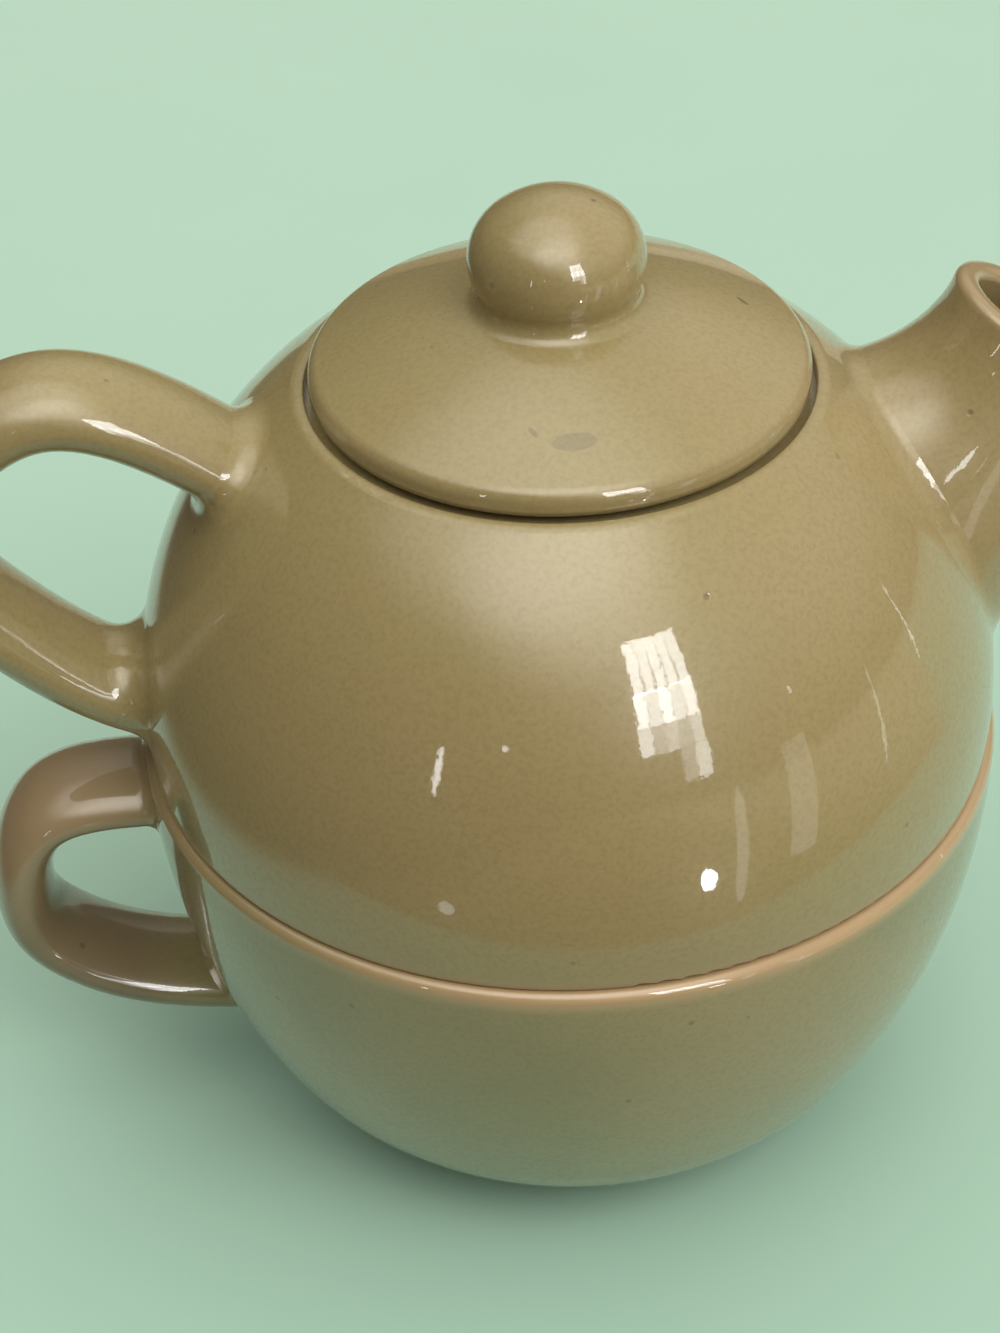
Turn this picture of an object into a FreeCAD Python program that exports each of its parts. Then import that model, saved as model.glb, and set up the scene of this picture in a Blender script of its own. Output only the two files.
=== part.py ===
import FreeCAD, Part
import Sketcher
import math
import os

# Tea for one: a cup that carries a ball shaped teapot on its rim, and the teapot's lid.
# Millimetres, +Z up. The cup's foot stands on z = 0 and the axis of all three pieces is Z.
# The spout points along +X and both handles along -X.

SIZES = {
    # cup: bowl turned from two tangent arcs, on a low foot ring
    "cup_height": 63.0,
    "cup_radius": 58.7,
    "cup_wall": 3.8,
    "cup_side_arc": 97.0,
    "cup_base_arc": 30.0,
    "cup_bowl_lift": 2.5,
    "cup_foot_radius": 30.0,
    "cup_foot_width": 4.0,
    "cup_floor": 4.0,
    "cup_rim_round": 1.3,
    "cup_foot_round": 1.3,
    # cup handle: a flat oval strap bent to an ear
    "cup_handle_thick": 8.4,
    "cup_handle_wide": 17.4,
    "cup_handle_root_round": 2.0,
    # teapot: a ball with a plug below that drops into the cup
    "pot_step": 0.7,
    "pot_wall": 4.0,
    "pot_centre_height": 6.0,
    "plug_depth": 8.0,
    "plug_clearance": 0.8,
    "plug_draft": 0.8,
    "pot_foot_width": 7.0,
    "pot_foot_recess": 2.5,
    "pot_floor": 4.0,
    "cavity_corner": 14.0,
    "crest_width": 1.3,
    "recess_depth": 1.4,
    "recess_round": 0.4,
    "gallery_thick": 3.8,
    # teapot handle
    "pot_handle_thick": 10.7,
    "pot_handle_wide": 17.2,
    "pot_handle_root_round": 3.8,
    "pot_handle_root_drop": 12.2,
    "pot_handle_root_reach": 18.5,
    "pot_handle_overrun": 1.5,
    # spout
    "spout_wall": 3.5,
    "spout_lip_share": 0.36,
    "spout_root_round": 3.5,
    "strainer_hole": 3.0,
    "strainer_pitch": 6.0,
    "strainer_overrun": 1.5,
    # teapot edges
    "crest_round": 2.0,
    "ledge_round": 1.0,
    "pot_foot_round": 1.5,
    "mouth_round": 0.8,
    # lid: a shallow cone with a rounded edge, a spigot below and a ball knob
    "lid_radius": 32.0,
    "lid_edge_height": 4.5,
    "lid_cone_height": 13.0,
    "lid_cone_arc": 110.0,
    "lid_wall": 4.6,
    "lid_under_height": 1.8,
    "lid_rest_width": 2.5,
    "lid_lift": 1.6,
    "lid_edge_round": 2.1,
    "lid_low_round": 1.2,
    "lid_clearance": 0.6,
    "spigot_inset": 6.0,
    "spigot_clearance": 0.8,
    "spigot_depth": 7.0,
    "spigot_thick": 3.2,
    "spigot_round": 1.0,
    "vent_hole": 2.6,
    "vent_reach": 15.0,
    "knob_radius": 11.2,
    "knob_stand": 5.4,
    "knob_top_arc": 13.5,
    "knob_side_arc": 7.5,
    "knob_root_round": 2.0,
}

# Control points of the handles' centre curves. First number: how far out from the body's
# largest radius. Second number: depth below the cup's rim or height over the teapot's crest
# for the top of a handle, and height over the cup's foot or the teapot's seat for the rest.
CUP_HANDLE_TOP = [(-3, 7.4), (8.5, 6.6), (17.5, 9)]
CUP_HANDLE_LOW = [(20.5, 38), (17, 28.5), (0, 19), (-21, 19)]
POT_HANDLE_TOP = [(14.5, 4.5)]
POT_HANDLE_LOW = [(29, 38), (17, 22.5), (2.5, 9), (-8, 7)]

# Sections of the spout, each by its two ends in the XZ plane and its half width. Top end: its
# share of the way from the crest's radius to the ball's, and its height over the crest. Low
# end: out from the ball's radius, and its height, which is a share of the crest's height over
# the seat at the root and is measured from the crest at the mouth.
SPOUT_ROOT = [
    (-0.029, -13.6, -3.4, 0.094, 17.8),
    (0.14, -3.9, 3.3, 0.291, 17.2),
    (0.374, -1.6, 7.6, 0.59, 14.4),
]
SPOUT_MOUTH = [
    (0.617, 3.6, 10.1, -10.0, 11.6),
    (0.72, 9.4, 10.8, -0.8, 10.2),
]

STRAINER_RING = 6

SHEET = "Sizes"
# How near a point has to lie to a surface or a height to count as on it
NEAR = 0.02
POINTS_PER_EDGE = 7


class Size:
    """A number with the sheet expression that it comes from."""

    def __init__(self, value, text):
        self.value = float(value)
        self.text = text

    def join(self, other, sign, value):
        return Size(value, f"({self.text} {sign} {as_size(other).text})")

    def __add__(self, other):
        return self.join(other, "+", self.value + as_size(other).value)

    def __sub__(self, other):
        return self.join(other, "-", self.value - as_size(other).value)

    def __mul__(self, other):
        return self.join(other, "*", self.value * as_size(other).value)

    def __truediv__(self, other):
        return self.join(other, "/", self.value / as_size(other).value)

    def __neg__(self):
        return Size(-self.value, f"(0 - {self.text})")


def as_size(number):
    if isinstance(number, Size):
        return number
    return Size(number, f"{number:.6g}")


def root(number):
    return Size(math.sqrt(number.value), f"sqrt({number.text})")


def side(hypotenuse, leg):
    """The other leg of a right triangle."""
    return root(hypotenuse * hypotenuse - leg * leg)


for number, (out, down) in enumerate(CUP_HANDLE_TOP, start=1):
    SIZES[f"cup_handle_top_out_{number}"] = out
    SIZES[f"cup_handle_top_down_{number}"] = down
for number, (out, up) in enumerate(CUP_HANDLE_LOW, start=1):
    SIZES[f"cup_handle_low_out_{number}"] = out
    SIZES[f"cup_handle_low_up_{number}"] = up
for number, (out, up) in enumerate(POT_HANDLE_TOP, start=1):
    SIZES[f"pot_handle_top_out_{number}"] = out
    SIZES[f"pot_handle_top_up_{number}"] = up
for number, (out, up) in enumerate(POT_HANDLE_LOW, start=1):
    SIZES[f"pot_handle_low_out_{number}"] = out
    SIZES[f"pot_handle_low_up_{number}"] = up
for number, section in enumerate(SPOUT_ROOT, start=1):
    for word, value in zip(("top_share", "top_up", "low_out", "low_share", "wide"), section):
        SIZES[f"spout_root_{word}_{number}"] = value
for number, section in enumerate(SPOUT_MOUTH, start=1):
    for word, value in zip(("top_share", "top_up", "low_out", "low_up", "wide"), section):
        SIZES[f"spout_mouth_{word}_{number}"] = value

doc = FreeCAD.newDocument("TeaForOne")
sheet = doc.addObject("Spreadsheet::Sheet", SHEET)
for row, (name, value) in enumerate(SIZES.items(), start=1):
    sheet.set(f"A{row}", name.replace("_", " "))
    sheet.set(f"B{row}", str(value))
    sheet.setAlias(f"B{row}", name)
doc.recompute()


def size(name):
    return Size(sheet.get(name), f"{SHEET}.{name}")


def add_body(label, height):
    body = doc.addObject("PartDesign::Body", label)
    body.Label = label
    body.setExpression(".Placement.Base.z", height.text)
    return body


def add_sketch(body, name, role):
    sketch = body.newObject("Sketcher::SketchObject", name)
    plane = next(item for item in body.Origin.OriginFeatures if item.Role == role)
    sketch.AttachmentSupport = (plane, [""])
    sketch.MapMode = "FlatFace"
    return sketch


def tilted_sketch(body, name, x, z, tilt):
    """A sketch across the XZ plane, its normal leaning by tilt from +Z towards +X."""
    sketch = add_sketch(body, name, "XY_Plane")
    turn = FreeCAD.Rotation(FreeCAD.Vector(0, 1, 0), tilt.value)
    sketch.AttachmentOffset = FreeCAD.Placement(FreeCAD.Vector(x.value, 0, z.value), turn)
    sketch.setExpression(".AttachmentOffset.Base.x", x.text)
    sketch.setExpression(".AttachmentOffset.Base.z", z.text)
    sketch.setExpression(".AttachmentOffset.Rotation.Angle", tilt.text)
    return sketch


def bind(sketch, kind, *where, length):
    """Add one dimension and tie it to the sheet."""
    number = sketch.addConstraint(Sketcher.Constraint(kind, *where, length.value))
    label = f"{kind}_{number}"
    sketch.renameConstraint(number, label)
    sketch.setExpression(f".Constraints.{label}", length.text)


def pin(sketch, item, end, x, y):
    """Hold one point of a sketch at x, y from the origin."""
    if x.value == 0:
        sketch.addConstraint(Sketcher.Constraint("PointOnObject", item, end, -2))
    else:
        bind(sketch, "DistanceX", -1, 1, item, end, length=x)
    if y.value == 0:
        sketch.addConstraint(Sketcher.Constraint("PointOnObject", item, end, -1))
    else:
        bind(sketch, "DistanceY", -1, 1, item, end, length=y)


def arc_between(start, end, radius, turn):
    """The short arc from start to end that turns left (+1) or right (-1)."""
    chord = end - start
    middle = (start + end) * 0.5
    rise = math.sqrt(max(radius ** 2 - chord.Length ** 2 / 4, 0))
    left = FreeCAD.Vector(-chord.y, chord.x, 0).normalize()
    centre = middle + left * rise * turn
    first, last = (start, end) if turn > 0 else (end, start)
    angles = [math.atan2(point.y - centre.y, point.x - centre.x) for point in (first, last)]
    if angles[1] < angles[0]:
        angles[1] += 2 * math.pi
    circle = Part.Circle(centre, FreeCAD.Vector(0, 0, 1), radius)
    return Part.ArcOfCircle(circle, angles[0], angles[1])


def draw_outline(sketch, corners):
    """Close an outline. Each corner is (x, y) or (x, y, radius, turn): a straight side to
    the next corner, or an arc of that radius."""
    points = [FreeCAD.Vector(corner[0].value, corner[1].value, 0) for corner in corners]
    ends = []
    for index, corner in enumerate(corners):
        start = points[index]
        end = points[(index + 1) % len(points)]
        if len(corner) == 2:
            item = sketch.addGeometry(Part.LineSegment(start, end))
            ends.append((item, 1, 2))
        else:
            item = sketch.addGeometry(arc_between(start, end, corner[2].value, corner[3]))
            ends.append((item, 1, 2) if corner[3] > 0 else (item, 2, 1))
    for index, (item, first, last) in enumerate(ends):
        following = ends[(index + 1) % len(ends)]
        sketch.addConstraint(Sketcher.Constraint("Coincident", item, last, following[0], following[1]))
    for (item, first, last), corner in zip(ends, corners):
        pin(sketch, item, first, as_size(corner[0]), as_size(corner[1]))
        if len(corner) > 2:
            bind(sketch, "Radius", item, length=corner[2])


def draw_oval(sketch, half_x, half_y):
    """An ellipse on the sketch's origin, its long axis drawn along X or Y."""
    along_x = half_x.value >= half_y.value
    long_end = FreeCAD.Vector(half_x.value, 0, 0) if along_x else FreeCAD.Vector(0, half_y.value, 0)
    short_end = FreeCAD.Vector(0, half_y.value, 0) if along_x else FreeCAD.Vector(-half_x.value, 0, 0)
    item = sketch.addGeometry(Part.Ellipse(long_end, short_end, FreeCAD.Vector(0, 0, 0)))
    major = sketch.addGeometry(Part.LineSegment(long_end * -1, long_end), True)
    minor = sketch.addGeometry(Part.LineSegment(short_end * -1, short_end), True)
    sketch.addConstraint(Sketcher.Constraint("InternalAlignment:EllipseMajorDiameter", major, item))
    sketch.addConstraint(Sketcher.Constraint("InternalAlignment:EllipseMinorDiameter", minor, item))
    sketch.addConstraint(Sketcher.Constraint("Coincident", item, 3, -1, 1))
    sketch.addConstraint(Sketcher.Constraint("PointOnObject", major, 2, -1 if along_x else -2))
    long_half, short_half = (half_x, half_y) if along_x else (half_y, half_x)
    bind(sketch, "Distance", major, length=long_half * 2)
    bind(sketch, "Distance", minor, length=short_half * 2)


def draw_curve(sketch, poles):
    """A smooth cubic curve with its control points held by the sheet."""
    points = [FreeCAD.Vector(x.value, y.value, 0) for x, y in poles]
    curve = Part.BSplineCurve(points, None, None, False, 3, None, False)
    item = sketch.addGeometry(curve)
    first = None
    for index, (x, y) in enumerate(poles):
        circle = Part.Circle(points[index], FreeCAD.Vector(0, 0, 1), 1)
        mark = sketch.addGeometry(circle, True)
        if first is None:
            first = mark
            sketch.addConstraint(Sketcher.Constraint("Weight", mark, 1.0))
        else:
            sketch.addConstraint(Sketcher.Constraint("Equal", first, mark))
        kind = "InternalAlignment:Sketcher::BSplineControlPoint"
        sketch.addConstraint(Sketcher.Constraint(kind, mark, 3, item, index))
        pin(sketch, mark, 3, x, y)


def turn_profile(body, kind, name, corners):
    """Revolve an outline about the axis: corners hold radius and height."""
    sketch = add_sketch(body, f"{name}_outline", "XZ_Plane")
    draw_outline(sketch, corners)
    feature = body.newObject(f"PartDesign::{kind}", name)
    feature.Profile = sketch
    feature.ReferenceAxis = (sketch, ["V_Axis"])
    feature.Angle = 360
    return feature


def angle_of(opposite, adjacent):
    angle = math.degrees(math.atan2(opposite.value, adjacent.value))
    return Size(angle, f"atan2({opposite.text}; {adjacent.text})")


def lean_between(start, end):
    """The angle from +Z towards +X of the line between two points of the XZ plane."""
    return angle_of(end[0] - start[0], end[1] - start[1])


def sweep_strap(body, name, poles, thick, wide):
    """A handle: an oval section along a smooth curve in the XZ plane."""
    path = add_sketch(body, f"{name}_path", "XZ_Plane")
    draw_curve(path, poles)
    section = tilted_sketch(body, f"{name}_section", poles[0][0], poles[0][1],
                            lean_between(poles[0], poles[1]))
    draw_oval(section, thick / 2, wide / 2)
    strap = body.newObject("PartDesign::AdditivePipe", name)
    strap.Profile = section
    strap.Spine = (path, [])
    return strap


def loft_ovals(body, kind, name, sections):
    """Loft through ovals: each is x, z, half length, half width and lean."""
    sketches = []
    for number, (x, z, half_long, half_wide, lean) in enumerate(sections, start=1):
        sketch = tilted_sketch(body, f"{name}_{number}", x, z, lean)
        draw_oval(sketch, half_long, half_wide)
        sketches.append(sketch)
    loft = body.newObject(f"PartDesign::{kind}", name)
    loft.Profile = sketches[0]
    loft.Sections = sketches[1:]
    return loft


def points_along(edge):
    return edge.discretize(POINTS_PER_EDGE)


def own_skin(feature):
    """The skin of what a feature adds by itself, in its body's frame."""
    shape = feature.AddSubShape.copy()
    shape.Placement = feature.Placement.multiply(shape.Placement)
    return shape.Shells[0]


def lies_in(edge, skins):
    """True where an edge lies in each of the skins."""
    for point in points_along(edge):
        vertex = Part.Vertex(point)
        if any(skin.distToShape(vertex)[0] > NEAR for skin in skins):
            return False
    return True


def at_radius(edge, radius, height):
    """True for a turned edge of that radius at that height."""
    for point in points_along(edge):
        off_radius = abs(math.hypot(point.x, point.y) - radius.value)
        if off_radius > NEAR or abs(point.z - height.value) > NEAR:
            return False
    return True


def round_edges(body, name, base, wanted, radius):
    """Round every edge of the base feature that passes the test."""
    names = []
    for number, edge in enumerate(base.Shape.Edges, start=1):
        if not edge.Degenerated and wanted(edge):
            names.append(f"Edge{number}")
    if not names:
        raise RuntimeError(f"{name}: no edge to round")
    fillet = body.newObject("PartDesign::Fillet", name)
    fillet.Base = (base, names)
    fillet.setExpression(".Radius", radius.text)
    fillet.Radius = radius.value
    doc.recompute()
    return fillet


ZERO = as_size(0)

# Cup

cup = add_body("cup", ZERO)
cup_radius = size("cup_radius")
cup_height = size("cup_height")
side_arc = size("cup_side_arc")
base_arc = size("cup_base_arc")
bowl_lift = size("cup_bowl_lift")
cup_wall = size("cup_wall")
foot_radius = size("cup_foot_radius")
foot_inner = foot_radius - size("cup_foot_width")

# The side arc stands upright where the rim's round begins. The base arc carries on from it
# without a corner, and comes down to the bowl's lift over the table.
rim_round = size("cup_rim_round")
foot_round = size("cup_foot_round")
rim_z = cup_height - rim_round
share = base_arc / side_arc
turn_height = (bowl_lift + base_arc - rim_z * share) / (as_size(1) - share)
side_centre_x = cup_radius - side_arc
turn_x = side_centre_x + side(side_arc, rim_z - turn_height)
base_centre_x = turn_x - (turn_x - side_centre_x) * share
base_centre_z = bowl_lift + base_arc
foot_top = base_centre_z - side(base_arc, foot_radius - base_centre_x)
floor_top = bowl_lift + cup_wall
floor_under = floor_top - size("cup_floor")
cup_body = turn_profile(cup, "Revolution", "cup_blank", [
    (ZERO, floor_under),
    (foot_inner, floor_under),
    (foot_inner, foot_round, foot_round, 1),
    (foot_inner + foot_round, ZERO),
    (foot_radius - foot_round, ZERO, foot_round, 1),
    (foot_radius, foot_round),
    (foot_radius, foot_top, base_arc, 1),
    (turn_x, turn_height, side_arc, 1),
    (cup_radius, rim_z, rim_round, 1),
    (cup_radius - rim_round, cup_height),
    (ZERO, cup_height),
])

handle_poles = []
for number in range(1, len(CUP_HANDLE_TOP) + 1):
    out = cup_radius + size(f"cup_handle_top_out_{number}")
    handle_poles.append((-out, cup_height - size(f"cup_handle_top_down_{number}")))
for number in range(1, len(CUP_HANDLE_LOW) + 1):
    out = cup_radius + size(f"cup_handle_low_out_{number}")
    handle_poles.append((-out, size(f"cup_handle_low_up_{number}")))
cup_handle = sweep_strap(cup, "cup_handle", handle_poles,
                         size("cup_handle_thick"), size("cup_handle_wide"))
doc.recompute()


root_skins = [own_skin(cup_body), own_skin(cup_handle)]


def cup_root(edge):
    return lies_in(edge, root_skins)


round_edges(cup, "cup_handle_blend", cup_handle, cup_root, size("cup_handle_root_round"))

inner_side = side_arc - cup_wall
inner_base = base_arc - cup_wall
inner_rim = cup_radius - cup_wall
wall_share = cup_wall / side_arc
inner_turn_x = turn_x - (turn_x - side_centre_x) * wall_share
inner_turn_z = turn_height + (rim_z - turn_height) * wall_share
turn_profile(cup, "Groove", "cup_hollow", [
    (ZERO, floor_top),
    (base_centre_x, floor_top, inner_base, 1),
    (inner_turn_x, inner_turn_z, inner_side, 1),
    (inner_rim, rim_z, rim_round, -1),
    (inner_rim + rim_round, cup_height),
    (ZERO, cup_height),
])
doc.recompute()

# Teapot: its own height zero is the ledge that rests on the cup's rim

teapot = add_body("teapot", cup_height)
pot_radius = cup_radius - size("pot_step")
pot_wall = size("pot_wall")
centre_z = size("pot_centre_height")
recess_radius = size("lid_radius") + size("lid_clearance")
crest_radius = recess_radius + size("crest_width")
crest_z = centre_z + side(pot_radius, crest_radius)
plug_z = -size("plug_depth")
plug_radius = inner_rim - size("plug_clearance")
plug_foot = plug_radius - size("plug_draft")
pot_foot_inner = plug_foot - size("pot_foot_width")


def spout_section(name, number, low_z):
    """Centre, half length, half width and lean of a section from its two ends."""
    top_x = crest_radius + (pot_radius - crest_radius) * size(f"{name}_top_share_{number}")
    top_z = crest_z + size(f"{name}_top_up_{number}")
    low_x = pot_radius + size(f"{name}_low_out_{number}")
    across = low_x - top_x
    drop = top_z - low_z
    half_long = root(across * across + drop * drop) / 2
    wide = size(f"{name}_wide_{number}")
    return (top_x + low_x) / 2, (top_z + low_z) / 2, half_long, wide, angle_of(drop, across)


spout_sections = []
for number in range(1, len(SPOUT_ROOT) + 1):
    low_z = crest_z * size(f"spout_root_low_share_{number}")
    spout_sections.append(spout_section("spout_root", number, low_z))
for number in range(1, len(SPOUT_MOUTH) + 1):
    low_z = crest_z + size(f"spout_mouth_low_up_{number}")
    spout_sections.append(spout_section("spout_mouth", number, low_z))
spout_wall = size("spout_wall")
channel_sections = []
for x, z, half_long, half_wide, lean in spout_sections:
    channel_sections.append((x, z, half_long - spout_wall, half_wide - spout_wall, lean))
spout = loft_ovals(teapot, "AdditiveLoft", "spout", spout_sections)
channel = loft_ovals(teapot, "SubtractiveLoft", "spout_channel", channel_sections)
doc.recompute()


def spout_lip(edge):
    x, z, half_long, half_wide, lean = spout_sections[-1]
    tilt = math.radians(lean.value)
    normal = FreeCAD.Vector(math.sin(tilt), 0, math.cos(tilt))
    centre = FreeCAD.Vector(x.value, 0, z.value)
    return all(abs((point - centre).dot(normal)) < NEAR for point in points_along(edge))


round_edges(teapot, "lip_round", channel, spout_lip, spout_wall * size("spout_lip_share"))

# The ball's outline runs into a small arc at the ledge and at the crest, with no corner between
crest_round = size("crest_round")
ledge_round = size("ledge_round")
ledge_x = side(pot_radius - ledge_round, centre_z - ledge_round)
ledge_share = pot_radius / (pot_radius - ledge_round)
nose_z = crest_z - crest_round
nose_x = side(pot_radius - crest_round, nose_z - centre_z)
nose_share = pot_radius / (pot_radius - crest_round)
ball = turn_profile(teapot, "Revolution", "ball", [
    (ZERO, plug_z + size("pot_foot_recess")),
    (pot_foot_inner, plug_z + size("pot_foot_recess")),
    (pot_foot_inner, plug_z),
    (plug_foot, plug_z),
    (plug_radius, ZERO),
    (ledge_x, ZERO, ledge_round, 1),
    (ledge_x * ledge_share, centre_z - (centre_z - ledge_round) * ledge_share, pot_radius, 1),
    (nose_x * nose_share, centre_z + (nose_z - centre_z) * nose_share, crest_round, 1),
    (nose_x, crest_z),
    (ZERO, crest_z),
])

# The handle springs square from the ball, a few degrees below the crest
crest_angle = angle_of(crest_z - centre_z, crest_radius)
root_drop = size("pot_handle_root_drop")
root_angle = Size(crest_angle.value - root_drop.value, f"({crest_angle.text} - {root_drop.text} * 1deg)")
root_cos = Size(math.cos(math.radians(root_angle.value)), f"cos({root_angle.text})")
root_sin = Size(math.sin(math.radians(root_angle.value)), f"sin({root_angle.text})")
handle_poles = []
root_start = pot_radius - pot_wall - size("pot_handle_overrun")
for radius in (root_start, pot_radius + size("pot_handle_root_reach")):
    handle_poles.append((-(radius * root_cos), centre_z + radius * root_sin))
for number in range(1, len(POT_HANDLE_TOP) + 1):
    out = pot_radius + size(f"pot_handle_top_out_{number}")
    handle_poles.append((-out, crest_z + size(f"pot_handle_top_up_{number}")))
for number in range(1, len(POT_HANDLE_LOW) + 1):
    out = pot_radius + size(f"pot_handle_low_out_{number}")
    handle_poles.append((-out, size(f"pot_handle_low_up_{number}")))
pot_handle = sweep_strap(teapot, "pot_handle", handle_poles,
                         size("pot_handle_thick"), size("pot_handle_wide"))
doc.recompute()


handle_skins = [own_skin(ball), own_skin(pot_handle)]
spout_skins = [own_skin(ball), own_skin(spout)]


def pot_root(edge):
    return lies_in(edge, handle_skins)


def spout_root(edge):
    return lies_in(edge, spout_skins)


handle_blend = round_edges(teapot, "pot_handle_blend", pot_handle, pot_root, size("pot_handle_root_round"))
round_edges(teapot, "spout_blend", handle_blend, spout_root, size("spout_root_round"))

# The hollow: mouth, seat for the lid, ball shaped room and floor
inner_radius = pot_radius - pot_wall
seat_z = crest_z - size("recess_depth")
under_z = seat_z - size("gallery_thick")
spigot_radius = size("lid_radius") - size("spigot_inset")
mouth_radius = spigot_radius + size("spigot_clearance")
mouth_round = size("mouth_round")
recess_round = size("recess_round")
floor_z = plug_z + size("pot_foot_recess") + size("pot_floor")
corner = size("cavity_corner")
corner_z = floor_z + corner
corner_x = side(inner_radius - corner, corner_z - centre_z)
meet = inner_radius / (inner_radius - corner)
turn_profile(teapot, "Groove", "pot_hollow", [
    (ZERO, floor_z),
    (corner_x, floor_z, corner, 1),
    (corner_x * meet, centre_z + (corner_z - centre_z) * meet, inner_radius, 1),
    (side(inner_radius, under_z - centre_z), under_z),
    (mouth_radius + mouth_round, under_z, mouth_round, -1),
    (mouth_radius, under_z + mouth_round),
    (mouth_radius, seat_z - mouth_round, mouth_round, -1),
    (mouth_radius + mouth_round, seat_z),
    (recess_radius, seat_z),
    (recess_radius, crest_z - recess_round, recess_round, -1),
    (recess_radius + recess_round, crest_z),
    (ZERO, crest_z),
])

# The strainer: one small hole and a ring of them around it, through the wall at the spout's root
strainer_angle = lean_between((ZERO, centre_z), spout_sections[1][:2])
overrun = size("strainer_overrun")
hole_start = pot_radius + overrun
lean_cos = Size(math.cos(math.radians(strainer_angle.value)), f"cos({strainer_angle.text})")
lean_sin = Size(math.sin(math.radians(strainer_angle.value)), f"sin({strainer_angle.text})")
holes = tilted_sketch(teapot, "strainer_holes", hole_start * lean_sin, centre_z + hole_start * lean_cos,
                      strainer_angle)
pitch = size("strainer_pitch")
spots = [(ZERO, ZERO)]
for step in range(STRAINER_RING):
    turn = 2 * math.pi * step / STRAINER_RING
    spots.append((pitch * round(math.cos(turn), 6), pitch * round(math.sin(turn), 6)))
for x, y in spots:
    place = FreeCAD.Vector(x.value, y.value, 0)
    hole = Part.Circle(place, FreeCAD.Vector(0, 0, 1), size("strainer_hole").value / 2)
    item = holes.addGeometry(hole)
    pin(holes, item, 3, x, y)
    bind(holes, "Radius", item, length=size("strainer_hole") / 2)
strainer = teapot.newObject("PartDesign::Pocket", "strainer")
strainer.Profile = holes
strainer.Type = "Length"
strainer.setExpression(".Length", (pot_wall + overrun * 2).text)
doc.recompute()


def pot_foot(edge):
    return at_radius(edge, plug_foot, plug_z) or at_radius(edge, pot_foot_inner, plug_z)


round_edges(teapot, "pot_foot_round", strainer, pot_foot, size("pot_foot_round"))

# Lid: its own height zero is the face that rests on the teapot's gallery

lid = add_body("lid", cup_height + seat_z)
lid_radius = size("lid_radius")
spigot_inner = spigot_radius - size("spigot_thick")
spigot_z = -size("spigot_depth")
cone_z = size("lid_cone_height")
edge_z = size("lid_edge_height")

# The knob: a flattened ball from a wide top arc and a tighter side arc that meet smoothly
top_arc = size("knob_top_arc")
knob_arc = size("knob_side_arc")
knob_side_x = size("knob_radius") - knob_arc
knob_side_z = cone_z + size("knob_stand")
knob_rise = side(top_arc - knob_arc, knob_side_x)
knob_top = knob_side_z - knob_rise + top_arc
share = top_arc / (top_arc - knob_arc)
meet_x = knob_side_x * share
meet_z = knob_top - top_arc + knob_rise * share
neck_radius = knob_side_x + side(knob_arc, size("knob_stand"))
rest_radius = spigot_radius + size("lid_rest_width")
lid_blank = turn_profile(lid, "Revolution", "lid_blank", [
    (ZERO, cone_z - size("lid_wall")),
    (neck_radius, cone_z - size("lid_wall")),
    (spigot_inner, size("lid_under_height")),
    (spigot_inner, spigot_z),
    (spigot_radius, spigot_z),
    (spigot_radius, ZERO),
    (rest_radius, ZERO),
    (lid_radius, size("lid_lift")),
    (lid_radius, edge_z, size("lid_cone_arc"), 1),
    (neck_radius, cone_z, knob_arc, 1),
    (meet_x, meet_z, top_arc, 1),
    (ZERO, knob_top),
])

# A small steam hole through the lid, behind the knob
vent_sketch = add_sketch(lid, "vent_outline", "XY_Plane")
vent_radius = size("vent_hole") / 2
vent_item = vent_sketch.addGeometry(Part.Circle(
    FreeCAD.Vector(0, size("vent_reach").value, 0), FreeCAD.Vector(0, 0, 1), vent_radius.value))
pin(vent_sketch, vent_item, 3, ZERO, size("vent_reach"))
bind(vent_sketch, "Radius", vent_item, length=vent_radius)
vent = lid.newObject("PartDesign::Pocket", "vent")
vent.Profile = vent_sketch
vent.Type = "Length"
vent.Reversed = True
vent.setExpression(".Length", cone_z.text)
doc.recompute()


def lid_rim(edge):
    return at_radius(edge, lid_radius, edge_z)


def lid_low_rim(edge):
    return at_radius(edge, lid_radius, size("lid_lift"))


def knob_root(edge):
    return at_radius(edge, neck_radius, cone_z)


def spigot_end(edge):
    return at_radius(edge, spigot_radius, spigot_z) or at_radius(edge, spigot_inner, spigot_z)


lid_rim_round = round_edges(lid, "lid_rim_round", vent, lid_rim, size("lid_edge_round"))
lid_low_round = round_edges(lid, "lid_low_round", lid_rim_round, lid_low_rim, size("lid_low_round"))
knob_blend = round_edges(lid, "knob_blend", lid_low_round, knob_root, size("knob_root_round"))
round_edges(lid, "spigot_round", knob_blend, spigot_end, size("spigot_round"))

# Checks, then one file for each piece

doc.recompute()
for item in doc.Objects:
    if "Invalid" in item.State or "Error" in item.State:
        raise RuntimeError(f"{item.Label} failed: {item.getStatusString()}")
os.makedirs("parts", exist_ok=True)
for body in (cup, teapot, lid):
    shape = body.Shape
    if shape.isNull() or not shape.isValid() or len(shape.Solids) != 1:
        raise RuntimeError(f"{body.Label} is not one valid solid")
    shape.exportStep(f"parts/{body.Label}.step")
    print(body.Label, round(shape.Volume / 1000, 1), "cm3")
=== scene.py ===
import math

import bpy
from mathutils import Matrix, Vector

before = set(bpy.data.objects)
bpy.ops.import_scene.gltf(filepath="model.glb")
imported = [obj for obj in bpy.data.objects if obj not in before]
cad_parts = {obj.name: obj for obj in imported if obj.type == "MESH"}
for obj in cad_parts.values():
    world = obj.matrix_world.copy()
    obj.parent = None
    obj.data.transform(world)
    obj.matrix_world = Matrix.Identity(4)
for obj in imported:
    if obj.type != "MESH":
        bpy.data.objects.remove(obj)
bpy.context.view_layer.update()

scene = bpy.context.scene
scene.view_settings.view_transform = "Standard"

MM = 0.001


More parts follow.
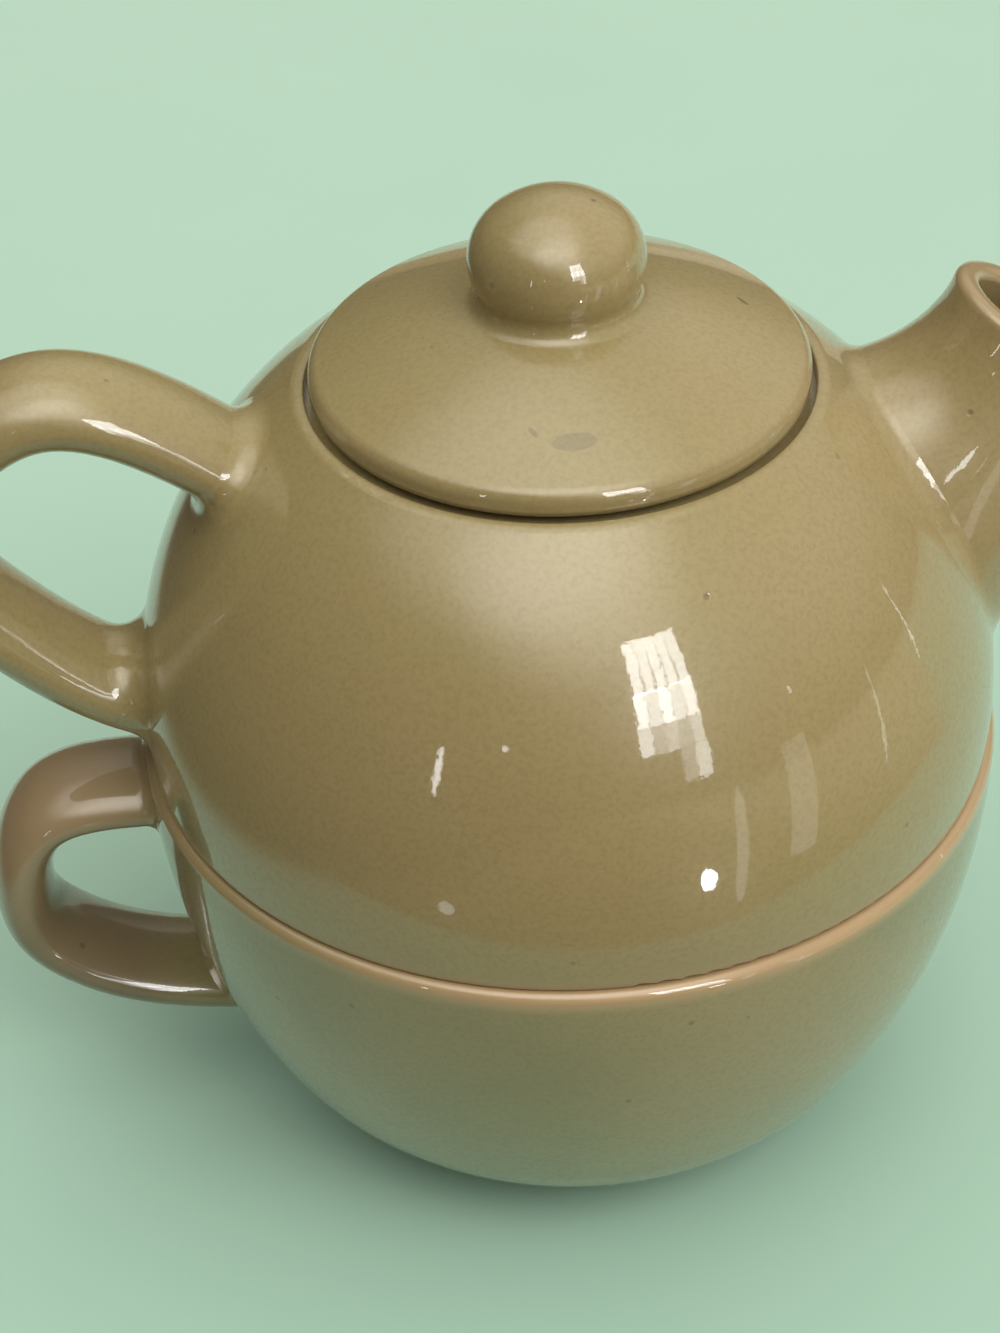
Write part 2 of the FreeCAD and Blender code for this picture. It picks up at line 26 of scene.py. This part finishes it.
def srgb(red, green, blue):
    """A colour as a screen shows it, 0 to 255, turned into the linear values that a shader takes."""
    values = []
    for channel in (red, green, blue):
        value = channel / 255
        values.append(value / 12.92 if value <= 0.04045 else ((value + 0.055) / 1.055) ** 2.4)
    return (*values, 1.0)


# Short calls for building nodes


class Nodes:
    """The nodes of one material, or of the world, from empty."""

    def __init__(self, tree):
        self.tree = tree
        tree.nodes.clear()

    def put(self, socket, value):
        if isinstance(value, bpy.types.NodeSocket):
            self.tree.links.new(value, socket)
        else:
            socket.default_value = value

    def add(self, kind, **inputs):
        """A new node. An underscore in the name of an input stands for a space."""
        node = self.tree.nodes.new(kind)
        for name, value in inputs.items():
            self.put(node.inputs[name.replace("_", " ")], value)
        return node

    def show(self, shader, output="ShaderNodeOutputMaterial"):
        self.tree.links.new(shader.outputs[0], self.add(output).inputs[0])

    def math(self, operation, *values):
        node = self.tree.nodes.new("ShaderNodeMath")
        node.operation = operation
        for socket, value in zip(node.inputs, values):
            self.put(socket, value)
        return node.outputs[0]

    def plus(self, first, second):
        return self.math("ADD", first, second)

    def minus(self, first, second):
        return self.math("SUBTRACT", first, second)

    def times(self, first, second):
        return self.math("MULTIPLY", first, second)

    def larger(self, first, second):
        return self.math("MAXIMUM", first, second)

    def length(self, first, second):
        return self.math("SQRT", self.plus(self.times(first, first), self.times(second, second)))

    def along(self, parts, way):
        """How far the three parts of a vector reach along a way."""
        total = self.times(parts[0], way[0])
        for part, share in zip(parts[1:], way[1:]):
            total = self.plus(total, self.times(part, share))
        return total

    def spread(self, value, low, high, to_low=0.0, to_high=1.0):
        """Value brought from one range to another with a soft start and end."""
        node = self.tree.nodes.new("ShaderNodeMapRange")
        node.interpolation_type = "SMOOTHSTEP"
        for socket, number in zip(node.inputs, (value, low, high, to_low, to_high)):
            self.put(socket, number)
        return node.outputs[0]

    def mix(self, share, first, second):
        node = self.tree.nodes.new("ShaderNodeMix")
        node.data_type = "RGBA"
        self.put(node.inputs[0], share)
        self.put(node.inputs[6], first)
        self.put(node.inputs[7], second)
        return node.outputs[2]

    def noise(self, place, scale, detail, roughness):
        node = self.add("ShaderNodeTexNoise", Vector=place, Scale=scale, Detail=detail, Roughness=roughness)
        return node.outputs[0]


def new_material(name):
    material = bpy.data.materials.new(name)
    material.use_nodes = True
    return material, Nodes(material.node_tree)


class Spot:
    """The place on a piece: as one vector, as its three parts, and its distance from the axis."""

    def __init__(self, n):
        self.place = n.add("ShaderNodeTexCoord").outputs["Object"]
        self.x, self.y, self.z = n.add("ShaderNodeSeparateXYZ", Vector=self.place).outputs
        self.reach = n.length(self.x, self.y)


# Glaze

BODY = srgb(155, 140, 95)
DEEP = srgb(122, 107, 68)
THIN = srgb(160, 136, 100)
CUP_BODY = srgb(138, 129, 89)
CUP_HANDLE = srgb(154, 130, 100)
# Painted shade: the darker tone of the cup handle's lower limb, which lies in shade under the upper limb
CUP_HANDLE_PAINTED_SHADE = srgb(112, 94, 74)
RIM = srgb(182, 153, 114)
STAIN = srgb(96, 88, 66)
PINHOLE = srgb(84, 66, 46)

# Each noise in the glaze: its scale, detail and roughness
CLOUD = (22.0, 3.0, 0.55)
FINE = (1400.0, 2.0, 0.6)
PATCHES = (60.0, 1.0, 0.5)
SWELL = (34.0, 1.0, 0.4)
RIPPLE = (240.0, 2.0, 0.5)
GRAIN = (1500.0, 1.0, 0.5)

# The part of a noise's range over which it takes effect, and the share of the colour it brings in
CLOUD_RANGE = (0.36, 0.66)
CLOUD_SHARE = 0.3
FINE_RANGE = (0.35, 0.75)
FINE_SHARE = 0.3
PATCH_RANGE = (0.56, 0.62)
PINHOLE_SCALE = 190.0
PINHOLE_RANGE = (0.05, 0.11)
PINHOLE_SHARE = 0.5

RIPPLE_HEIGHT = 0.05
GRAIN_HEIGHT = 0.012
PINHOLE_DEPTH = 0.12
BUMP_STRENGTH = 0.35
BUMP_DISTANCE = 0.0009

ROUGHNESS_RANGE = (0.2, 0.8)
BODY_ROUGHNESS = (0.30, 0.42)
BODY_SPECULAR = 0.2
COAT_ROUGHNESS = 0.04
GLAZE_IOR = 1.5

# Where the glaze changes on the pieces, from and to in metres, and how much of the new tone shows
CUP_RIM = (0.0597, 0.0620)
CUP_RIM_SHARE = 0.9
CUP_RIM_FADE = (-0.05, -0.01)
CUP_RIM_LEAST = 0.35
HANDLE_SIDE = (-0.065, -0.054)
HANDLE_SHARE = 0.75
# Heights over which the painted shade on the cup handle's lower limb gives way to the handle's own pinker
# tone
HANDLE_PAINTED_SHADE_FADE = (0.032, 0.05)
FOOT_EDGE = (0.0632, 0.0665)
SPOUT_LIP = (0.1315, 0.1345)
SPOUT_LEAN = math.radians(30)
TEAPOT_SHARE = 0.8
LID_EDGE = (0.0300, 0.0316)
LID_EDGE_SHARE = 0.12
LID_TOP = (0.1, 0.11)

# How a stain fades around its outline, which is at 1
STAIN_FADE = (0.8, 1.05)
OUTLINE_GROWS = (0.7, 0.95)
OUTLINE_FADES = (0.95, 1.2)


def cup_edges(n, spot):
    """The rim, strongest towards the spout."""
    rim = n.spread(spot.z, *CUP_RIM, 0.0, CUP_RIM_SHARE)
    return n.times(rim, n.spread(spot.x, *CUP_RIM_FADE, CUP_RIM_LEAST, 1.0))


def teapot_edges(n, spot):
    """The edge of the foot just over the cup, and the leaning lip of the spout."""
    foot = n.spread(spot.z, *FOOT_EDGE, TEAPOT_SHARE, 0.0)
    up = n.times(spot.z, math.cos(SPOUT_LEAN))
    out = n.times(spot.x, math.sin(SPOUT_LEAN))
    return n.larger(foot, n.spread(n.plus(up, out), *SPOUT_LIP, 0.0, TEAPOT_SHARE))


def lid_edges(n, spot):
    return n.spread(spot.reach, *LID_EDGE, 0.0, LID_EDGE_SHARE)


def cup_handle_tint_and_painted_shade(n, spot, tone):
    """The cup's handle is pinker than its bowl, and darker low down, where painted shade stands for the
    shade that the upper limb casts on the lower one.
    """
    handle = n.mix(n.spread(spot.z, *HANDLE_PAINTED_SHADE_FADE), CUP_HANDLE_PAINTED_SHADE, CUP_HANDLE)
    return n.mix(n.spread(spot.x, *HANDLE_SIDE, HANDLE_SHARE, 0.0), tone, handle)


def oval(n, spot, centre, half_long, half_short, turn):
    """Distance from the middle of an oval mark seen from above: 1 at its outline."""
    cos, sin = math.cos(math.radians(turn)), math.sin(math.radians(turn))
    dx = n.minus(spot.x, centre[0])
    dy = n.minus(spot.y, centre[1])
    along = n.plus(n.times(dx, cos / half_long), n.times(dy, sin / half_long))
    across = n.plus(n.times(dx, -sin / half_short), n.times(dy, cos / half_short))
    return n.length(along, across)


def stained(n, spot, tone, centre, half_long, half_short, turn, depth):
    """The tone with one oval mark in it, on the lid's top only."""
    away = oval(n, spot, centre, half_long, half_short, turn)
    inside = n.spread(away, *STAIN_FADE, depth, 0.0)
    outline = n.times(n.spread(away, *OUTLINE_GROWS), n.spread(away, *OUTLINE_FADES, depth, 0.0))
    stain = n.times(n.larger(inside, outline), n.spread(spot.z, *LID_TOP))
    return n.mix(stain, tone, STAIN)


def pinholes(n, spot):
    """1 in the small pits that dot some patches of the glaze."""
    cells = n.add("ShaderNodeTexVoronoi", Vector=spot.place, Scale=PINHOLE_SCALE, Randomness=1.0)
    near = n.spread(cells.outputs["Distance"], *PINHOLE_RANGE, 1.0, 0.0)
    chosen = n.spread(n.noise(spot.place, *PATCHES), *PATCH_RANGE)
    return n.times(near, chosen)


def relief(n, spot, pin):
    """A faint swell of the glaze, so that reflections waver a little, with the pinholes sunk in it."""
    height = n.plus(n.noise(spot.place, *SWELL), n.times(n.noise(spot.place, *RIPPLE), RIPPLE_HEIGHT))
    height = n.plus(height, n.times(n.noise(spot.place, *GRAIN), GRAIN_HEIGHT))
    height = n.minus(height, n.times(pin, PINHOLE_DEPTH))
    bump = n.add("ShaderNodeBump", Strength=BUMP_STRENGTH, Distance=BUMP_DISTANCE, Height=height)
    return bump.outputs[0]


def glaze(name, body, thin, edges, tint_and_shade=None, marks=()):
    """A thick clear gloss glaze over a mottled body. Edges says where the glaze runs thin and the
    warmer tone shows, tint changes the tone of a part of the piece and may add painted shade to it,
    and each mark is a small stain: centre, half length, half width, turn and depth of tone."""
    material, n = new_material(name)
    spot = Spot(n)
    cloud = n.noise(spot.place, *CLOUD)
    fine = n.noise(spot.place, *FINE)
    pin = pinholes(n, spot)

    tone = n.mix(n.spread(cloud, *CLOUD_RANGE, 0.0, CLOUD_SHARE), body, thin)
    tone = n.mix(n.spread(fine, *FINE_RANGE, 0.0, FINE_SHARE), tone, DEEP)
    tone = n.mix(edges(n, spot), tone, thin)
    # On the cup this adds the handle's pinker tone and the painted shade low on the handle
    if tint_and_shade:
        tone = tint_and_shade(n, spot, tone)
    tone = n.mix(n.times(pin, PINHOLE_SHARE), tone, PINHOLE)
    for mark in marks:
        tone = stained(n, spot, tone, *mark)

    normal = relief(n, spot, pin)
    shader = n.add(
        "ShaderNodeBsdfPrincipled",
        Base_Color=tone,
        Roughness=n.spread(fine, *ROUGHNESS_RANGE, *BODY_ROUGHNESS),
        IOR=GLAZE_IOR,
        Specular_IOR_Level=BODY_SPECULAR,
        Coat_Weight=1.0,
        Coat_Roughness=COAT_ROUGHNESS,
        Coat_IOR=GLAZE_IOR,
        Normal=normal,
        Coat_Normal=normal,
    )
    n.show(shader)
    return material


LID_MARKS = [
    ((-0.0012, -0.0250), 0.0025, 0.0011, 0, 0.36),
    ((0.0240, 0.0030), 0.0010, 0.0003, -52, 0.7),
    ((-0.0060, -0.0230), 0.0008, 0.0003, -60, 0.4),
]
GLAZES = {
    "cup": (CUP_BODY, RIM, cup_edges, cup_handle_tint_and_painted_shade),
    "teapot": (BODY, THIN, teapot_edges),
    "lid": (BODY, THIN, lid_edges, None, LID_MARKS),
}
for node, look in GLAZES.items():
    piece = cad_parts[node]
    piece.data.materials.clear()
    piece.data.materials.append(glaze(f"{node}_glaze", *look))

# Floor

FLOOR = srgb(166, 199, 180)
# Painted light: the far floor's lighter tone, standing in for the sheen and brighter light on the far table
FLOOR_FAR_PAINTED_LIGHT = srgb(179, 207, 189)
FLOOR_STAIN = srgb(160, 192, 172)
# From and to, in metres front to back, over which the painted light on the floor grows
FLOOR_PAINTED_LIGHT_FADE = (-0.15, 0.5)
FLOOR_ROUGHNESS = 0.8
FLOOR_REACH = 3
FLOOR_CORNERS = 64
FLOOR_NOISE = (9.0, 4.0, 0.6)
FLOOR_NOISE_RANGE = (0.35, 0.7)
FLOOR_STAIN_SHARE = 0.12

ROOM = srgb(150, 133, 104)
ROOM_LEFT = srgb(84, 78, 62)
ROOM_LEFT_FADE = (-0.2, -0.1)
ROOM_RIGHT = srgb(200, 190, 166)
ROOM_RIGHT_FADE = (0.1, 0.35)

# Where the table ends for the glaze that mirrors it, in metres from the middle
TABLE_SIDE = 0.20
TABLE_LEFT = 0.15
TABLE_FRONT = 0.138
TABLE_BACK = 0.6
EDGE_BLUR = 0.02
BACK_BLUR = 0.1
FRONT_BLUR = (0.97, 1.06)


def beyond_table(n, x, y):
    """1 on the floor past the table's edges: a round front, a straight left side and a straight back."""
    out = n.length(n.math("DIVIDE", x, TABLE_SIDE), n.math("DIVIDE", y, TABLE_FRONT))
    front = n.times(n.spread(out, *FRONT_BLUR), n.spread(y, -EDGE_BLUR, EDGE_BLUR, 1.0, 0.0))
    left = n.spread(x, -TABLE_LEFT - EDGE_BLUR, -TABLE_LEFT + EDGE_BLUR, 1.0, 0.0)
    back = n.spread(y, TABLE_BACK, TABLE_BACK + BACK_BLUR)
    return n.larger(n.larger(front, left), back)


def floor_material():
    """The pale table top, with painted light that makes it lighter towards the back. The camera sees it
    everywhere, but what the glaze gets from it ends at the table's edges, with a dim room beyond."""
    material, n = new_material("floor")
    place = n.add("ShaderNodeNewGeometry").outputs["Position"]
    x, y = n.add("ShaderNodeSeparateXYZ", Vector=place).outputs[:2]
    stain = n.spread(n.noise(place, *FLOOR_NOISE), *FLOOR_NOISE_RANGE, 0.0, FLOOR_STAIN_SHARE)
    # Painted light: the floor grows lighter towards the back
    tone = n.mix(n.spread(y, *FLOOR_PAINTED_LIGHT_FADE), FLOOR, FLOOR_FAR_PAINTED_LIGHT)
    tone = n.mix(stain, tone, FLOOR_STAIN)

    room = n.mix(n.spread(x, *ROOM_RIGHT_FADE), ROOM, ROOM_RIGHT)
    room = n.mix(n.spread(x, *ROOM_LEFT_FADE), ROOM_LEFT, room)
    mirrored = n.minus(1.0, n.add("ShaderNodeLightPath").outputs["Is Camera Ray"])
    tone = n.mix(n.times(beyond_table(n, x, y), mirrored), tone, room)
    shader = n.add(
        "ShaderNodeBsdfPrincipled",
        Base_Color=tone,
        Roughness=FLOOR_ROUGHNESS,
        Specular_IOR_Level=0.0,
    )
    n.show(shader)
    return material


def add_floor():
    corners = []
    for corner in range(FLOOR_CORNERS):
        turn = 2 * math.pi * corner / FLOOR_CORNERS
        corners.append((FLOOR_REACH * math.cos(turn), FLOOR_REACH * math.sin(turn), 0))
    mesh = bpy.data.meshes.new("floor")
    mesh.from_pydata(corners, [], [tuple(range(FLOOR_CORNERS))])
    mesh.materials.append(floor_material())
    floor = bpy.data.objects.new("floor", mesh)
    scene.collection.objects.link(floor)


add_floor()

# Room

ROOM_LOW = srgb(92, 90, 78)
ROOM_CEILING = srgb(255, 252, 243)
BACKGROUND = srgb(214, 230, 220)
CEILING_TILT = 0.25
CEILING_FADE = (0.2, 0.75)

# How bright the room is: the range of a direction over which each part grows, and its level
ROOM_LEVEL = 0.75
DUSK_FADE = (-0.6, 0.1)
DUSK_LEAST = 0.12
LANTERN_FADE = (0.62, 1.0)
LANTERN_LEVEL = 1.2
SHEEN_FADE = (0.72, 0.95)
SHEEN_LEVEL = 1.9
SHEEN_AHEAD_FADE = (0.82, 1.0)
SHEEN_AHEAD_LEVEL = 2.6
OVERHEAD = (-0.2, -0.12, 0.96)
AHEAD = (-0.05, -0.5, 0.86)


def add_room():
    """A dim room, darker on the handles' side, under a bright soft ceiling. Its brightest part lights
    the set as one wide lantern overhead, and shows in the glaze as two soft patches. The camera
    sees a plain pale background."""
    world = bpy.data.worlds.new("room")
    scene.world = world
    world.use_nodes = True
    n = Nodes(world.node_tree)
    direction = n.add("ShaderNodeTexCoord").outputs["Generated"]
    parts = n.add("ShaderNodeSeparateXYZ", Vector=direction).outputs
    side, _, up = parts
    overhead = n.along(parts, OVERHEAD)
    ahead = n.along(parts, AHEAD)
    rays = n.add("ShaderNodeLightPath").outputs
    camera_ray = rays["Is Camera Ray"]
    glossy_ray = rays["Is Glossy Ray"]

    ceiling = n.spread(n.plus(up, n.times(side, CEILING_TILT)), *CEILING_FADE)
    tone = n.mix(ceiling, ROOM_LOW, ROOM_CEILING)
    dusk = n.times(n.spread(side, *DUSK_FADE, DUSK_LEAST, 1.0), ROOM_LEVEL)
    lantern = n.spread(overhead, *LANTERN_FADE, 0.0, LANTERN_LEVEL)
    sheen = n.spread(overhead, *SHEEN_FADE, 0.0, SHEEN_LEVEL)
    sheen = n.plus(sheen, n.spread(ahead, *SHEEN_AHEAD_FADE, 0.0, SHEEN_AHEAD_LEVEL))
    bright = n.plus(n.times(sheen, glossy_ray), n.times(lantern, n.minus(1.0, glossy_ray)))

    level = n.times(n.plus(dusk, bright), n.minus(1.0, camera_ray))
    background = n.add(
        "ShaderNodeBackground",
        Color=n.mix(camera_ray, tone, BACKGROUND),
        Strength=n.plus(level, camera_ray),
    )
    n.show(background, "ShaderNodeOutputWorld")


add_room()

# Lamps


def lamp(name, aim, where, size, radiance, shape="ELLIPSE", lights=False):
    """An area light, which either lights or only shows in the glaze. Aim is the point that it faces, in
    millimetres. Where is its azimuth from the front towards the spout, its elevation and its
    distance, seen from that point, and size its width and height."""
    azimuth, elevation, distance = where
    width, height = size
    data = bpy.data.lights.new(name, "AREA")
    data.shape = shape
    data.size = width
    data.size_y = height
    data.energy = radiance * math.pi * width * height
    a, e = math.radians(azimuth), math.radians(elevation)
    way = Vector((math.sin(a) * math.cos(e), -math.cos(a) * math.cos(e), math.sin(e)))
    light = bpy.data.objects.new(name, data)
    light.location = Vector(aim) * MM + way * distance
    light.rotation_mode = "QUATERNION"
    light.rotation_quaternion = (-way).to_track_quat("-Z", "Y")
    light.visible_camera = False
    light.visible_diffuse = lights
    light.visible_glossy = not lights
    scene.collection.objects.link(light)


# Soft daylight: most from the window's side, and less from the spout's side, the handles and behind
MIDDLE = (0, 0, 85)
DAYLIGHT = [
    ("sidelight", (78, 20, 1.6), (1.0, 1.0), 1.4),
    ("filllight", (-35, 52, 1.6), (1.0, 1.0), 0.9),
    ("backlight", (195, 30, 1.8), (1.2, 1.2), 0.9),
    ("daylight", (32, 46, 1.6), (0.8, 0.8), 4.6),
]
for name, where, size, radiance in DAYLIGHT:
    lamp(name, MIDDLE, where, size, radiance, "RECTANGLE", lights=True)

# The window as the glaze mirrors it: a net curtain, and darker panes with a lattice below it.
# Each row has its top and low elevation and the radiance of its panes from left to right.
WINDOW_AIM = (5, -47, 102)
WINDOW_AWAY = 1.6
WINDOW_SIDES = (12, 30)
WINDOW_ROWS = [
    (41, 28, (14, 13, 14, 13, 12)),
    (28, 19.5, (17, 12, 18, 12, 15)),
    (19, 12, (10, 4, 6, 4, 7)),
    (11.5, 3, (0, 0, 0, 3, 8)),
]
ROW_OVERLAP = 1.05


def add_window():
    left, right = WINDOW_SIDES
    for row, (top, low, panes) in enumerate(WINDOW_ROWS):
        turn = (right - left) / len(panes)
        wide = WINDOW_AWAY * math.radians(turn) * math.cos(math.radians(top))
        tall = WINDOW_AWAY * math.radians(top - low) * ROW_OVERLAP
        for column, radiance in enumerate(panes):
            if radiance:
                where = (left + turn * (column + 0.5), (top + low) / 2, WINDOW_AWAY)
                lamp(f"window_{row}_{column}", WINDOW_AIM, where, (wide, tall), radiance, "RECTANGLE")


add_window()

# Glints and dim streaks of the room, each aimed at the spot on the glaze where it shows
lamp("glint_low", (10, -56, 79), (27, -24, 0.16), (0.013, 0.020), 20)
lamp("glint_left", (-21, -48, 93), (-40, 7, 1.0), (0.03, 0.23), 9)
lamp("glint_far", (-13, -49, 96), (-23, 16, 1.0), (0.03, 0.03), 7)
lamp("glint_warm", (21, -46, 98), (54, 13, 1.0), (0.016, 0.03), 5)
lamp("glint_edge", (-21, -53, 76), (-37, -30, 0.13), (0.010, 0.012), 2.2)
lamp("streak_front", (14, -54, 83), (35, -17, 0.12), (0.008, 0.080), 1.3)
lamp("streak_wide", (21, -51, 86), (51.5, -11.5, 0.15), (0.022, 0.088), 1.2, "RECTANGLE")
lamp("streak_thin", (38, -34, 97), (95, -1, 0.4), (0.004, 0.14), 4.0)
lamp("streak_dim", (33, -42, 90), (77.5, -8, 0.2), (0.003, 0.088), 2.2)

# Camera

SENSOR = 36
LENS = 76.6
CAMERA_PLACE = (-35.04, -304.92, 310.05)
CAMERA_RIGHT = Vector((0.99336215, -0.11023287, -0.03286877))
CAMERA_UP = Vector((0.09383203, 0.61124101, 0.78586257))
CAMERA_FORWARD = Vector((0.06653715, 0.78373028, -0.61752706))


def add_camera():
    data = bpy.data.cameras.new("camera")
    data.sensor_width = SENSOR
    data.lens = LENS
    camera = bpy.data.objects.new("camera", data)
    scene.collection.objects.link(camera)
    matrix = Matrix((CAMERA_RIGHT, CAMERA_UP, -CAMERA_FORWARD)).transposed().to_4x4()
    matrix.translation = Vector(CAMERA_PLACE) * MM
    camera.matrix_world = matrix
    scene.camera = camera


add_camera()
